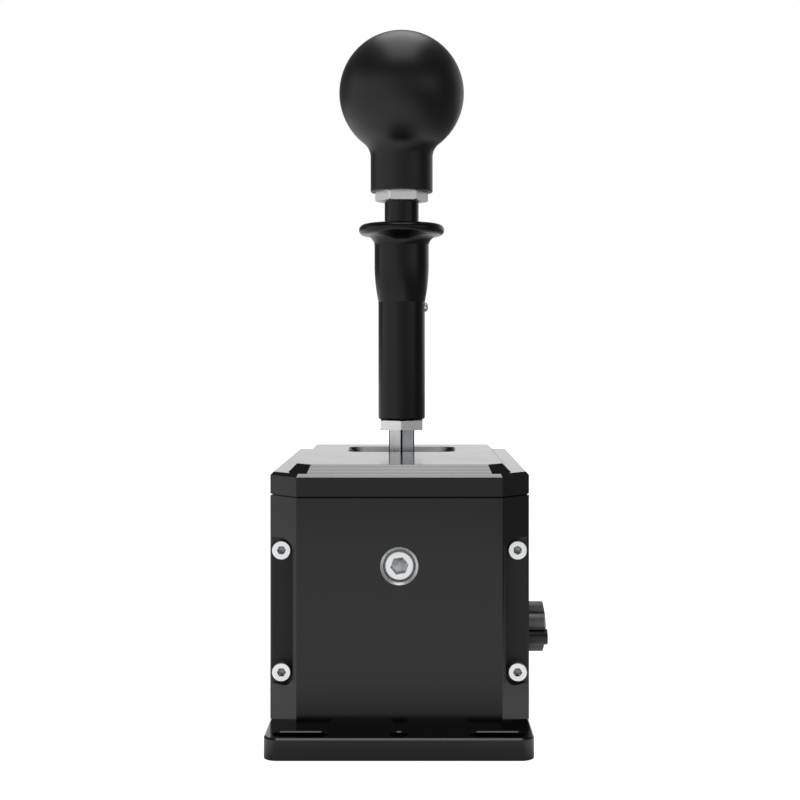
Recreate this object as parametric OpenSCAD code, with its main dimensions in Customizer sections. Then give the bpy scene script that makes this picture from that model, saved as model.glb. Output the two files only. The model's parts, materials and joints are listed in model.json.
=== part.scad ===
// Gear shifter for a driving rig: a bolted box, a gimballed lever with a lift collar and a ball knob,
// a front detent screw and a star knob that sets the select centring springs.
// Millimetres, +Z up, the front faces -Y. Origin: middle of the base plate's underside.

/* [Base plate] */
// How far the base plate reaches past the body at each side
base_side = 0; // [0:0.5:12]
// How far the base plate reaches past the body at front and rear
base_overhang = 15; // [13:0.5:25]
// Thickness of the base plate
base_t = 8; // [6:0.5:12]
// Corner radius of the base plate
base_corner_r = 5; // [4:0.5:12]
// Bevel round the top edge of the base plate
base_bevel = 0.6; // [0.4:0.1:1.5]
// Width of the mounting slots and of the two centre holes
slot_w = 6.4; // [5:0.1:8]
// Length of the mounting slots
slot_len = 20; // [12:0.5:22]
// Distance of a slot's middle from the middle plane
slot_x = 35.7; // [26:0.1:36]
// Distance of a slot's middle from the front or rear edge
slot_edge = 5.8; // [5:0.1:8]
// Edge break of slots and holes
slot_bevel = 0.4; // [0.2:0.1:0.8]

/* [Body] */
// Width of the body
body_w = 98; // [92:0.5:120]
// Depth of the body
body_d = 130; // [126:0.5:150]
// Height of the body walls
body_h = 84.6; // [82:0.2:95]
// Chamfer of the two front corners
corner_chamfer = 10.8; // [6:0.1:12]
// Thickness of the front plate
front_t = 15; // [13:0.5:18]
// Thickness of the rear plate
rear_t = 10; // [9:0.5:14]
// Thickness of the side plates
side_t = 10; // [9:0.5:12]

/* [Plate screws] */
// Thread diameter of the corner screws
screw_d = 4; // [3:0.5:5]
// Head diameter of the corner screws
head_d = 7; // [6:0.1:8]
// Head height of the corner screws
head_h = 4; // [3:0.1:5]
// Key size of the corner screws
key_af = 3; // [2:0.5:4]
// Distance of the corner screws from the side faces
screw_side = 4.7; // [4.5:0.1:5.5]
// Height of the lower corner screws above the base plate
screw_low = 18.6; // [12:0.2:24]
// Height of the upper corner screws above the base plate
screw_high = 64.4; // [55:0.2:72]
// Radius of the milled screw pockets
pocket_r = 4.7; // [4.5:0.1:5]
// Depth of the milled screw pockets behind the front face
pocket_depth = 10; // [8:0.5:11]
// Screw length in the side plates
screw_grip = 12; // [8:0.5:15]

/* [Tie bolts] */
// Thread diameter of the tie bolts
tie_d = 5; // [4:0.5:6]
// Head diameter of the tie bolts
tie_head_d = 9.2; // [8:0.1:11]
// Distance of the tie bolts from the middle plane
tie_x = 32; // [24:0.5:34]
// Bolt length in the lid
tie_grip = 6; // [4:0.5:7]

/* [Lid] */
// Height of the lid's edge
lid_h = 8.9; // [8.5:0.1:12]
// Bevel round the top edge of the lid
lid_bevel = 1.2; // [0.6:0.1:2]
// Height of the shadow gap under the lid, and its depth at sides and rear
lid_gap = 0.6; // [0.3:0.1:1]
// Depth of the shadow gap at the front
gap_depth = 3.2; // [1:0.1:4]
// Height of the plateau above the lid's edge
plateau_h = 3.2; // [2.5:0.1:4]
// Distance of the plateau's foot from the front face
plateau_front = 1.4; // [1.3:0.1:4]
// Distance of the plateau's foot from the side faces
plateau_side = 7; // [4:0.5:9]
// Distance of the plateau's foot from the rear face
plateau_rear = 14.8; // [6:0.2:15]
// Chamfer of the plateau's two front corners
plateau_chamfer = 5.7; // [3:0.1:8]
// Width of the lever opening
opening_w = 47; // [42:0.5:48]
// Depth of the lever opening
opening_d = 31; // [30:0.5:32]
// Corner radius of the lever opening
opening_r = 6.5; // [3:0.5:8]
// Bevel round the lever opening
opening_bevel = 2.1; // [0.5:0.1:2.2]
// Thickness of the lid round the opening
opening_skin = 3; // [2.5:0.1:3.2]

/* [Lever] */
// Distance of the lever in front of the rear face
lever_rear = 48; // [46:0.5:54]
// Height of the lever's pivot above the base plate
pivot_h = 59.4; // [58:0.2:60]
// Swing of the lever to front and rear, degrees each way
shift_deg = 10; // [6:0.5:10]
// Swing of the lever to the sides, degrees each way
select_deg = 8; // [4:0.5:8]
// Width across flats of the lever rod
rod_af = 11; // [10.5:0.1:11]
// Length of the lever from its pivot to the lower nut
rod_len = 45.9; // [44:0.1:52]
// Width across flats of the lower nut
nut_low_af = 18; // [16:0.5:19]
// Height of the lower nut
nut_low_h = 4.1; // [3.5:0.1:7]
// Length of the thin part of the shaft, inside the sleeve
shaft_low_len = 40.6; // [36:0.1:50]
// Diameter of the thin part of the shaft
shaft_low_d = 12.6; // [12.4:0.1:12.8]
// Length of the thick part of the shaft
shaft_top_len = 54; // [50:0.1:60]
// Diameter of the thick part of the shaft
shaft_top_d = 14.8; // [14.6:0.1:15]
// Width across flats of the upper nut
nut_top_af = 20; // [18:0.5:22]
// Height of the upper nut
nut_top_h = 4; // [3:0.1:6]
// Diameter of the threaded studs
stud_d = 10; // [8:0.5:10]

/* [Knob] */
// Diameter of the ball
ball_d = 54; // [46:0.5:60]
// Diameter of the knob's neck
neck_d = 26.9; // [24:0.1:30]
// Height of the ball's centre above the upper nut
ball_rise = 42.8; // [38:0.1:48]
// Fillet between neck and ball
neck_fillet = 8; // [4:0.5:10]

/* [Lift collar] */
// Outer diameter of the sleeve
sleeve_d = 20.2; // [20:0.1:22]
// Diameter of the collar's waist
waist_d = 23.6; // [23:0.1:25]
// Diameter of the collar's lip
lip_d = 37; // [34:0.5:42]
// Thickness of the collar's lip
lip_t = 4.8; // [4:0.1:6]
// Fillet under the lip
lip_fillet = 4.5; // [3:0.1:5]
// Length of the collar
collar_len = 33.5; // [32:0.1:36]
// Length of the tapered part of the collar
taper_len = 16.5; // [12:0.5:18]
// How far the collar lifts
lift = 8; // [4:0.5:8]

/* [Star knob] */
// Height of the star knob's axis above the base plate
star_h = 20.4; // [20:0.1:22]
// Outer diameter of the star knob
star_d = 22; // [19:0.1:25]
// Radius of the star knob's lobes
lobe_r = 3.2; // [2.5:0.1:4]
// Number of the star knob's lobes
lobes = 7; // [4:1:8]
// Length of the star knob
star_len = 12.8; // [10:0.1:14]
// Radius of the star knob's domed end
dome_r = 38; // [30:0.5:60]
// How far the star knob is turned at rest, degrees
star_turn = 207; // [0:1:359]
// Diameter of the adjusting screw
adjust_d = 8; // [6:0.5:8]
// Lead of the adjusting screw for one turn
adjust_lead = 2; // [1:0.25:2]
// Turns of the star knob
adjust_turns = 1.9; // [1:0.1:1.9]

/* [Clearances] */
// Radial clearance of pieces that are fixed to each other
seat_gap = 0.02; // [0.01:0.01:0.04]
// Radial clearance of pieces that turn or slide
run_gap = 0.05; // [0.02:0.01:0.08]
// Gap between pieces that pass each other
free_gap = 0.3; // [0.3:0.05:0.5]

/* [Hidden] */
$fn = 64;
cut = 0.5;
black = [0.09, 0.09, 0.095];
steel = [0.75, 0.76, 0.78];
alloy = [0.55, 0.56, 0.58];
brass = [0.72, 0.58, 0.3];
rubber = [0.06, 0.06, 0.06];

base_w = body_w + 2 * base_side;
base_d = body_d + 2 * base_overhang;
front_y = -body_d / 2;
rear_y = body_d / 2;
front_in = front_y + front_t;
rear_in = rear_y - rear_t;
half_w = body_w / 2;
side_in = half_w - side_t;
body_top = base_t + body_h;
ledge_z = body_top + lid_h;
top_z = ledge_z + plateau_h;
skin_z = top_z - opening_skin;
hole_y = base_d / 2 - slot_edge;

lever_y = rear_y - lever_rear;
pivot_z = base_t + pivot_h;
star_z = base_t + star_h;
tail_len = pivot_z - star_z;

screw_x = half_w - screw_side;
screw_zs = [base_t + screw_low, base_t + screw_high];
pocket_y = front_y + pocket_depth;
rear_sink = head_h + 0.4;
head_bevel = 0.25;
nut_turn = 0.5;
nut_edge = 0.1;
rod_edge = 0.2;
tie_key = 3;
m3_d = 3;
m3_head_d = 5.4;
m3_head_h = 3;
m3_key = 2.5;
m3_low_h = 2.2;
m3_low_key = 2;
tie_ys = [front_in - front_t / 2, rear_in + rear_t / 2];

// lever stack, heights above the floor
nut_low_z = pivot_z + rod_len;
shaft_z = nut_low_z + nut_low_h;
shoulder_z = shaft_z + shaft_low_len;
nut_top_z = shoulder_z + shaft_top_len;
knob_z = nut_top_z + nut_top_h;
ball_z = knob_z + ball_rise;
stud_len = 20;
top_stud_len = 18;
stud_end_z = shaft_z + stud_len;
top_stud_end_z = knob_z + top_stud_len;

// collar and sleeve
collar_top_z = nut_top_z - lift - 2;
collar_z = collar_top_z - collar_len;
sleeve_z = shaft_z + free_gap;
sleeve_edge = 0.7;
sleeve_bore_d = sleeve_d - 3.4;
land_len = 6;
spigot_len = 8;
collar_screw_d = 4;
collar_screw_drop = 2.2;
collar_screw_out = 1.5;
collar_dome_r = 2.6;
spring_low_z = sleeve_z + land_len;

// collar spring
lift_wire = 1;
lift_coil_r = sleeve_bore_d / 2 - free_gap - lift_wire / 2;
lift_len = shoulder_z - spring_low_z - 2 * free_gap;

// gimbal
ring_out_d = 14.4;
ring_in_d = 13.8;
pivot_d = 10;
bearing_d = 19;
bearing_w = 5;
cradle_x = 24;
cradle_y = 20;
cradle_z = 9;
window_x = 15;
window_y = 13;
hub_x = 12;
hub_top = 14;
hub_collar = 6;
hub_y = window_y - 0.4;
pin_d = 8;
sector_r = 24;
sector_x = 8;
notch_r = 3.4;
notch_depth = 0.5;
tail_r = 4;
tail_ball_r = 6;

// detent barrel
grub_d = 12;
grub_key = 6;
grub_recess = 0.8;
grub_bevel = 0.95;
grub_key_depth = 7;
grub_end_y = front_in + 6;
barrel_d = 18;
barrel_bore_d = grub_d + 2 * run_gap;
flange_d = 30;
flange_t = 4;
flange_screw_r = 11.9;
flange_grip = 6;
tip_y = lever_y - sector_r - free_gap;
barrel_end_y = tip_y - 3.7;
plunger_d = grub_d - 0.1;
plunger_shoulder_y = barrel_end_y - 1.8;
plunger_len = 11.2;
nose_r = 3;
detent_wire = 1.6;
detent_coil_r = 4.8;
detent_len = plunger_shoulder_y - plunger_len - grub_end_y - 2 * free_gap;

// select mechanism
yoke_x = 10.5;
yoke_y = 25;
yoke_h = 7;
rod_d = 6;
rod_y = 19;
rod_hole = 3.2;
plate_t = 4;
plate_room = 6;
plate_x = side_in - plate_room - plate_t;
plate_h = 14;
adjust_travel = adjust_lead * adjust_turns;
adjust_collar_d = 13;
adjust_end = 3;
star_wall = 4;
pointer_r = lobe_r + 0.1;
pointer_edge = 0.6;
star_x = half_w + 0.6;
bush_d = 12;
bush_flange_d = 16;
bush_flange_t = 1.3;
select_wire = 1.2;
select_coil_r = 4.6;
left_len = side_in - yoke_x - 2 * free_gap;
right_len = plate_x - yoke_x - 2 * free_gap;
yoke_slot_y = tail_len * sin(shift_deg) + tail_ball_r + 0.9;

// dust plate
dust_w = 52;
dust_d = 46;
dust_t = 1.6;
dust_z = skin_z - free_gap - dust_t;
dust_travel = (dust_z + dust_t / 2 - pivot_z) * tan(shift_deg);
dust_pocket_y = dust_d / 2 + dust_travel + 0.45;
dust_slot_x = (dust_z + dust_t - pivot_z) * tan(select_deg) + rod_af / 2 / cos(select_deg) + 1;
dust_slot_y = rod_af / 2 / cos(30) / cos(shift_deg) + dust_t / 2 * tan(shift_deg) + 0.5;
rail_t = 2;
rail_z = dust_z - free_gap - rail_t;
rail_in = 20;
rail_out = 34;
hollow_x = 36;
hollow_in = 2;

// sensor board
board_t = 1.6;
board_w = 56;
board_z0 = star_z - 7.5;
board_z1 = pivot_z + 12.6;
standoff_len = 6;
board_y = rear_in - standoff_len - board_t;
standoff_x = board_w / 2 - 4;
socket_h = 42;
socket_z = base_t + socket_h;
magnet_x = 10;
chip_w = 6;
chip_t = 1.3;
main_chip_w = 10;
chip_x = 15;
chip_drop = 17;

// Helpers

// cylinder along X or Y, given by its two ends
module cyl_x(d, x0, x1, y, z) {
  translate([x0, y, z]) rotate([0, 90, 0]) cylinder(d = d, h = x1 - x0);
}
module cyl_y(d, y0, y1, x, z) {
  translate([x, y0, z]) rotate([-90, 0, 0]) cylinder(d = d, h = y1 - y0);
}
module cyl_z(d, z0, z1, x, y) {
  translate([x, y, z0]) cylinder(d = d, h = z1 - z0);
}

// box given by two corners
module box(a, b) {
  translate(a) cube(b - a);
}

// drawing in the XZ plane, made solid from y0 to y1
module slab_xz(y0, y1) {
  translate([0, y1, 0]) rotate([90, 0, 0]) linear_extrude(y1 - y0) children();
}

// drawing in the YZ plane, made solid from x0 to x1
module slab_yz(x0, x1) {
  translate([x0, 0, 0]) rotate([90, 0, 90]) linear_extrude(x1 - x0) children();
}

// rectangle with round corners
module round_rect(w, d, r) {
  square([w - 2 * r, d], center = true);
  square([w, d - 2 * r], center = true);
  for (sx = [-1, 1], sy = [-1, 1]) translate([sx * (w / 2 - r), sy * (d / 2 - r)]) circle(r);
}

// hexagonal prism along Z
module hex(af, h) {
  cylinder(d = af / cos(30), h = h, $fn = 6);
}

// outline of body and lid: square at the rear, two chamfers at the front
function outline(hw, y0, y1, c) = [[-hw, y1], [-hw, y0 + c], [-hw + c, y0], [hw - c, y0],
  [hw, y0 + c], [hw, y1]];

// solid on such an outline, with a bevel b round its upper edge
module bevelled_block(hw, y0, y1, c, z0, z1, b) {
  u = (hw - c - y0) / sqrt(2);
  reach = 2 * (hw + y1 - y0);
  intersection() {
    slab_xz(y0, y1) polygon([[-hw, z0], [hw, z0], [hw, z1 - b], [hw - b, z1], [b - hw, z1], [-hw, z1 - b]]);
    slab_yz(-hw, hw) polygon([[y0, z0], [y1, z0], [y1, z1 - b], [y1 - b, z1], [y0 + b, z1], [y0, z1 - b]]);
    rotate(-45) corner_cut(u, reach, z0, z1, b);
    rotate(-135) corner_cut(u, reach, z0, z1, b);
  }
}
module corner_cut(u, reach, z0, z1, b) {
  slab_xz(-reach, reach) polygon([[-reach, z0], [u, z0], [u, z1 - b], [u - b, z1], [-reach, z1]]);
}

// cutter for the bevel b round a hole with round corners, the upper edge at z = 0
module flare(w, d, r, b) {
  slab_yz(-w / 2 + r, w / 2 - r)
    polygon([[-d / 2 - cut, cut], [-d / 2 + b, -b], [d / 2 - b, -b], [d / 2 + cut, cut]]);
  if (d > 2 * r) slab_xz(-d / 2 + r, d / 2 - r)
    polygon([[-w / 2 - cut, cut], [-w / 2 + b, -b], [w / 2 - b, -b], [w / 2 + cut, cut]]);
  for (sx = [-1, 1], sy = d > 2 * r ? [-1, 1] : [1])
    translate([sx * (w / 2 - r), sy * (d / 2 - r), -b]) cylinder(r1 = r - b, r2 = r + cut, h = b + cut);
}

// middle line of a coil, its skin and its least gap to itself
rings = 8;
sides = 6;
function coil_mid(r, len, turns) = [for (i = [0:turns * rings])
  [r * cos(360 * i / rings), r * sin(360 * i / rings), len * i / (turns * rings)]];
function coil_gap(r, wire, len, turns) = let (c = coil_mid(r, len, turns), n = turns * rings)
  min([for (i = [0:n - rings / 2 - 1], j = [i + rings / 2 + 1:n]) norm(c[i] - c[j])]) - wire;
module coil(r, wire, len, turns) {
  n = turns * rings;
  pitch_len = len - wire;
  skin = [for (i = [0:n], j = [0:sides - 1])
    let (a = 360 * i / rings, p = 360 * j / sides, q = r + wire / 2 * cos(p))
    [q * cos(a), q * sin(a), wire / 2 + pitch_len * i / n + wire / 2 * sin(p)]];
  walls = [for (i = [0:n - 1], j = [0:sides - 1], t = [0, 1])
    let (a = i * sides + j, b = i * sides + (j + 1) % sides)
    t == 0 ? [a, b, a + sides] : [b, b + sides, a + sides]];
  ends = [for (j = [1:sides - 2], t = [0, 1])
    t == 0 ? [0, j + 1, j] : [n * sides, n * sides + j, n * sides + j + 1]];
  echo(least_gap_in_coil = coil_gap(r, wire, pitch_len, turns));
  polyhedron(points = skin, faces = concat(walls, ends));
}

// socket head screw along +Y, the head's face at y = 0, its key socket turned by a
module head_screw(d, hd, hh, key, len, a) {
  difference() {
    union() {
      rotate([-90, 0, 0]) cylinder(d1 = hd - 2 * head_bevel, d2 = hd, h = head_bevel);
      cyl_y(hd, head_bevel, hh, 0, 0);
      cyl_y(d, hh, hh + len, 0, 0);
    }
    translate([0, -cut, 0]) rotate([-90, 0, 0]) rotate(a) hex(key, hh * 0.55 + cut);
    translate([0, hh * 0.55 - 0.01, 0]) rotate([-90, 0, 0])
      cylinder(d1 = key * 0.98, d2 = 0.1, h = key * 0.29);
  }
}

// nut along Z, its corners barely turned
module nut(af, h, bore) {
  corner = af / cos(30) / 2;
  flat = corner - nut_turn;
  drop = nut_turn * 0.6;
  difference() {
    intersection() {
      hex(af, h);
      rotate_extrude() polygon([[0, 0], [flat, 0], [corner - nut_edge, drop], [corner - nut_edge, h - drop],
        [flat, h], [0, h]]);
    }
    cyl_z(bore, -cut, h + cut, 0, 0);
  }
}

// Housing

module base_plate() color(black) difference() {
  union() {
    slab_xz(-base_d / 2 + base_corner_r, base_d / 2 - base_corner_r)
      bevelled(base_w, base_t, base_bevel);
    slab_yz(-base_w / 2 + base_corner_r, base_w / 2 - base_corner_r)
      bevelled(base_d, base_t, base_bevel);
    for (sx = [-1, 1], sy = [-1, 1])
      translate([sx * (base_w / 2 - base_corner_r), sy * (base_d / 2 - base_corner_r), 0]) {
        cylinder(r = base_corner_r, h = base_t - base_bevel);
        translate([0, 0, base_t - base_bevel])
          cylinder(r1 = base_corner_r, r2 = base_corner_r - base_bevel, h = base_bevel);
      }
  }
  for (sx = [-1, 1], sy = [-1, 1]) translate([sx * slot_x, sy * hole_y, 0]) {
    translate([0, 0, -cut]) linear_extrude(base_t + 2 * cut) slot_shape();
    translate([0, 0, base_t]) flare(slot_len + 2 * slot_bevel, slot_w + 2 * slot_bevel,
      slot_w / 2 + slot_bevel, slot_bevel);
  }
  for (sy = [-1, 1]) translate([0, sy * hole_y, 0]) {
    cyl_z(slot_w, -cut, base_t + cut, 0, 0);
    translate([0, 0, base_t - slot_bevel])
      cylinder(d1 = slot_w, d2 = slot_w + 2 * slot_bevel + 2 * cut, h = slot_bevel + cut);
  }
  for (sx = [-1, 1], y = tie_ys) translate([sx * tie_x, y, 0]) {
    cyl_z(tie_d + 2 * run_gap, -cut, base_t + cut, 0, 0);
    translate([0, 0, -cut]) cylinder(d1 = tie_head_d + 2 * run_gap + 2 * cut,
      d2 = tie_d + 2 * run_gap, h = (tie_head_d - tie_d) / 2 + cut);
  }
}

module bevelled(w, t, b) {
  polygon([[-w / 2, 0], [w / 2, 0], [w / 2, t - b], [w / 2 - b, t], [-w / 2 + b, t], [-w / 2, t - b]]);
}

module slot_shape() {
  square([slot_len - slot_w, slot_w], center = true);
  for (s = [-1, 1]) translate([s * (slot_len - slot_w) / 2, 0]) circle(d = slot_w);
}

module front_plate() color(black) difference() {
  translate([0, 0, base_t]) linear_extrude(body_h)
    polygon(outline(half_w, front_y, front_in, corner_chamfer));
  for (sx = [-1, 1]) {
    slab_xz(front_y - cut, pocket_y) {
      for (z = screw_zs) translate([sx * screw_x, z]) circle(pocket_r);
      translate([sx > 0 ? screw_x - pocket_r : -half_w - cut, screw_zs[0]])
        square([pocket_r + screw_side + cut, screw_zs[1] - screw_zs[0]]);
      for (z = screw_zs) translate([sx > 0 ? screw_x : -half_w - cut, z - pocket_r])
        square([screw_side + cut, 2 * pocket_r]);
    }
    for (z = screw_zs) cyl_y(screw_d + 2 * run_gap, pocket_y - cut, front_in + cut, sx * screw_x, z);
    cyl_z(tie_d + 2 * run_gap, base_t - cut, body_top + cut, sx * tie_x, tie_ys[0]);
  }
  cyl_y(grub_d + 2 * run_gap, front_y - cut, front_in + cut, 0, pivot_z);
  translate([0, front_y - cut, pivot_z]) rotate([-90, 0, 0])
    cylinder(d1 = grub_d + 2 * (grub_bevel + cut), d2 = grub_d, h = grub_bevel + cut);
  flange_screw_places() cyl_y(m3_d + 2 * seat_gap, front_in - flange_grip - 1, front_in + cut, 0, 0);
}

module rear_plate() color(black) difference() {
  box([-half_w, rear_in, base_t], [half_w, rear_y, body_top]);
  for (sx = [-1, 1]) {
    for (z = screw_zs) {
      cyl_y(screw_d + 2 * run_gap, rear_in - cut, rear_y + cut, sx * screw_x, z);
      cyl_y(head_d + 0.6, rear_y - rear_sink, rear_y + cut, sx * screw_x, z);
    }
    cyl_z(tie_d + 2 * run_gap, base_t - cut, body_top + cut, sx * tie_x, tie_ys[1]);
  }
  translate([0, 0, socket_z]) slab_xz(rear_in - cut, rear_y + cut) round_rect(9.6, 4, 1.9);
  translate([0, 0, socket_z]) slab_xz(rear_in + 2.5, rear_y + cut) round_rect(15, 9, 2);
  for (sx = [-1, 1], z = standoff_zs())
    cyl_y(m3_d + 2 * seat_gap, rear_in - cut, rear_in + 4, sx * standoff_x, z);
}

// right side plate without the bore of the bush
module side_plate() difference() {
  box([side_in, front_in, base_t], [half_w, rear_in, body_top]);
  cyl_x(bearing_d + 2 * seat_gap, side_in - cut, side_in + bearing_w, lever_y, pivot_z);
  for (s = [-1, 1])
    cyl_x(rod_d + 2 * seat_gap, side_in - cut, side_in + rod_hole, lever_y + s * rod_y, star_z);
  for (z = screw_zs) {
    cyl_y(screw_d + 2 * seat_gap, front_in - cut, front_in + screw_grip + 1, screw_x, z);
    cyl_y(screw_d + 2 * seat_gap, rear_in - screw_grip - 1, rear_in + cut, screw_x, z);
  }
}

module left_side_plate() color(black) mirror([1, 0, 0]) side_plate();

module right_side_plate() color(black) difference() {
  side_plate();
  cyl_x(bush_d + 2 * seat_gap, side_in - cut, half_w + cut, lever_y, star_z);
}

module lid() color(black) difference() {
  union() {
    translate([0, 0, body_top]) linear_extrude(lid_gap + 0.1)
      polygon(outline(half_w - lid_gap, front_y + gap_depth, rear_y - lid_gap, corner_chamfer - lid_gap));
    bevelled_block(half_w, front_y, rear_y, corner_chamfer, body_top + lid_gap, ledge_z, lid_bevel);
    bevelled_block(half_w - plateau_side, front_y + plateau_front, rear_y - plateau_rear,
      plateau_chamfer + (2 - sqrt(2)) * plateau_h, ledge_z - 0.1, top_z, plateau_h);
  }
  translate([0, lever_y, skin_z - cut]) linear_extrude(opening_skin + cut)
    round_rect(opening_w - 2 * opening_bevel, opening_d - 2 * opening_bevel, opening_r - opening_bevel);
  translate([0, lever_y, top_z]) flare(opening_w, opening_d, opening_r, opening_bevel);
  box([-dust_w / 2 - free_gap, lever_y - dust_pocket_y, rail_z], [dust_w / 2 + free_gap,
    lever_y + dust_pocket_y, skin_z]);
  box([-hollow_x, front_in + hollow_in, body_top - cut], [hollow_x, rear_in - hollow_in, rail_z + rail_t]);
  for (sx = [-1, 1], y = tie_ys)
    cyl_z(tie_d + 2 * seat_gap, body_top - cut, body_top + tie_grip + 0.5, sx * tie_x, y);
  rail_screw_places() cyl_z(m3_d + 2 * seat_gap, rail_z, rail_z + rail_t + 3.5, 0, 0);
}

function key_turn(sx, z) = sx > 0 && z == screw_zs[1] ? 4 : 30;

module plate_screws() color(steel) for (sx = [-1, 1], z = screw_zs) {
  translate([sx * screw_x, pocket_y - head_h, z])
    head_screw(screw_d, head_d, head_h, key_af, front_in + screw_grip - pocket_y, key_turn(sx, z));
  translate([sx * screw_x, rear_y - rear_sink + head_h, z]) rotate([0, 0, 180])
    head_screw(screw_d, head_d, head_h, key_af, rear_y - rear_sink - rear_in + screw_grip, 12);
}

module tie_bolts() color(steel) for (sx = [-1, 1], y = tie_ys) translate([sx * tie_x, y, 0]) difference() {
  union() {
    cylinder(d1 = tie_head_d, d2 = tie_d, h = (tie_head_d - tie_d) / 2);
    cylinder(d = tie_d, h = body_top + tie_grip);
  }
  translate([0, 0, -cut]) hex(tie_key, 2.5 + cut);
}

module detent_screw() color(steel) translate([0, front_y + grub_recess, pivot_z]) difference() {
  union() {
    rotate([-90, 0, 0]) cylinder(d1 = grub_d - 2 * grub_bevel, d2 = grub_d, h = grub_bevel);
    cyl_y(grub_d, grub_bevel, grub_end_y - front_y - grub_recess, 0, 0);
  }
  translate([0, -cut, 0]) rotate([-90, 0, 0]) rotate(-10) hex(grub_key, grub_key_depth + cut);
  translate([0, grub_key_depth - 0.01, 0]) rotate([-90, 0, 0])
    cylinder(d1 = grub_key * 0.98, d2 = 0.2, h = grub_key * 0.29);
}

module flange_screw_places() {
  for (a = [90, 210, 330])
    translate([flange_screw_r * cos(a), 0, pivot_z + flange_screw_r * sin(a)]) children();
}

module detent_barrel() color(alloy) difference() {
  union() {
    cyl_y(flange_d, front_in, front_in + flange_t, 0, pivot_z);
    cyl_y(barrel_d, front_in, barrel_end_y, 0, pivot_z);
  }
  cyl_y(barrel_bore_d, front_in - cut, barrel_end_y - 1.5, 0, pivot_z);
  cyl_y(2 * nose_r + 0.6, front_in - cut, barrel_end_y + cut, 0, pivot_z);
  flange_screw_places() cyl_y(m3_d + 2 * run_gap, front_in - cut, front_in + flange_t + cut, 0, 0);
}

module barrel_screws() color(steel) flange_screw_places() translate([0, front_in + flange_t + m3_head_h, 0])
  rotate([0, 0, 180]) head_screw(m3_d, m3_head_d, m3_head_h, m3_key, flange_t + flange_grip, 0);

module detent_spring() color(steel) translate([0, grub_end_y + free_gap, pivot_z]) rotate([-90, 0, 0])
  coil(detent_coil_r, detent_wire, detent_len, floor(detent_len / 3));

module detent_plunger() color(brass) union() {
  cyl_y(plunger_d, plunger_shoulder_y - plunger_len, plunger_shoulder_y, 0, pivot_z);
  cyl_y(2 * nose_r, plunger_shoulder_y - cut, tip_y - nose_r, 0, pivot_z);
  translate([0, tip_y - nose_r, pivot_z]) sphere(nose_r);
}

module bearing_outer_rings() color(steel) for (s = [0, 1]) mirror([s, 0, 0]) difference() {
  cyl_x(bearing_d, side_in, side_in + bearing_w, lever_y, pivot_z);
  cyl_x(ring_out_d, side_in - cut, side_in + bearing_w + cut, lever_y, pivot_z);
}

module guide_rods() color(steel) for (s = [-1, 1])
  cyl_x(rod_d, -side_in - rod_hole + 0.2, side_in + rod_hole - 0.2, lever_y + s * rod_y, star_z);

module left_springs() color(steel) for (s = [-1, 1])
  translate([-side_in + free_gap, lever_y + s * rod_y, star_z]) rotate([0, 90, 0])
    coil(select_coil_r, select_wire, left_len, floor(left_len / 3.8));

module right_springs() color(steel) for (s = [-1, 1])
  translate([yoke_x + free_gap, lever_y + s * rod_y, star_z]) rotate([0, 90, 0])
    coil(select_coil_r, select_wire, right_len, floor(right_len / 3.5));

module adjust_bush() color(brass) difference() {
  union() {
    cyl_x(bush_d, side_in - bush_flange_t, half_w, lever_y, star_z);
    cyl_x(bush_flange_d, side_in - bush_flange_t, side_in, lever_y, star_z);
  }
  cyl_x(adjust_d + 2 * run_gap, side_in - bush_flange_t - cut, half_w + cut, lever_y, star_z);
}

module rail_screw_places() {
  for (sx = [-1, 1], sy = [-1, 1])
    translate([sx * (rail_out - 3.5), lever_y + sy * (dust_pocket_y - 5), 0]) children();
}

module dust_rails() color(alloy) for (sx = [-1, 1]) difference() {
  box([sx > 0 ? rail_in : -rail_out, lever_y - dust_pocket_y, rail_z],
    [sx > 0 ? rail_out : -rail_in, lever_y + dust_pocket_y, rail_z + rail_t]);
  rail_screw_places() cyl_z(m3_d + 2 * run_gap, rail_z - cut, rail_z + rail_t + cut, 0, 0);
}

module rail_screws() color(steel) rail_screw_places() translate([0, 0, rail_z]) difference() {
  union() {
    translate([0, 0, -m3_low_h]) cylinder(d = m3_head_d, h = m3_low_h);
    cylinder(d = m3_d, h = rail_t + 3);
  }
  translate([0, 0, -m3_low_h - cut]) hex(m3_low_key, 1.2 + cut);
}

function standoff_zs() = [board_z0 + 4, board_z1 - 4];

module sensor_board() color([0.08, 0.3, 0.16]) difference() {
  box([-board_w / 2, board_y, board_z0], [board_w / 2, board_y + board_t, board_z1]);
  for (sx = [-1, 1], z = standoff_zs())
    cyl_y(m3_d + 2 * run_gap, board_y - cut, board_y + board_t + cut, sx * standoff_x, z);
}

module board_chips() color(rubber) {
  for (p = [[magnet_x, pivot_z], [0, star_z]])
    translate([p[0], 0, p[1]])
      box([-chip_w / 2, board_y - chip_t, -chip_w / 2], [chip_w / 2, board_y, chip_w / 2]);
  translate([-chip_x, 0, pivot_z - chip_drop])
    box([-main_chip_w / 2, board_y - chip_t, -main_chip_w / 2], [main_chip_w / 2, board_y, main_chip_w / 2]);
}

module board_standoffs() color(brass) for (sx = [-1, 1], z = standoff_zs()) difference() {
  cyl_y(6, board_y + board_t, rear_in, sx * standoff_x, z);
  cyl_y(m3_d + 2 * seat_gap, board_y, rear_in + cut, sx * standoff_x, z);
}

module board_screws() color(steel) for (sx = [-1, 1], z = standoff_zs())
  translate([sx * standoff_x, board_y - m3_low_h, z])
    head_screw(m3_d, m3_head_d, m3_low_h, m3_low_key, board_t + standoff_len + 3, 0);

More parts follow.
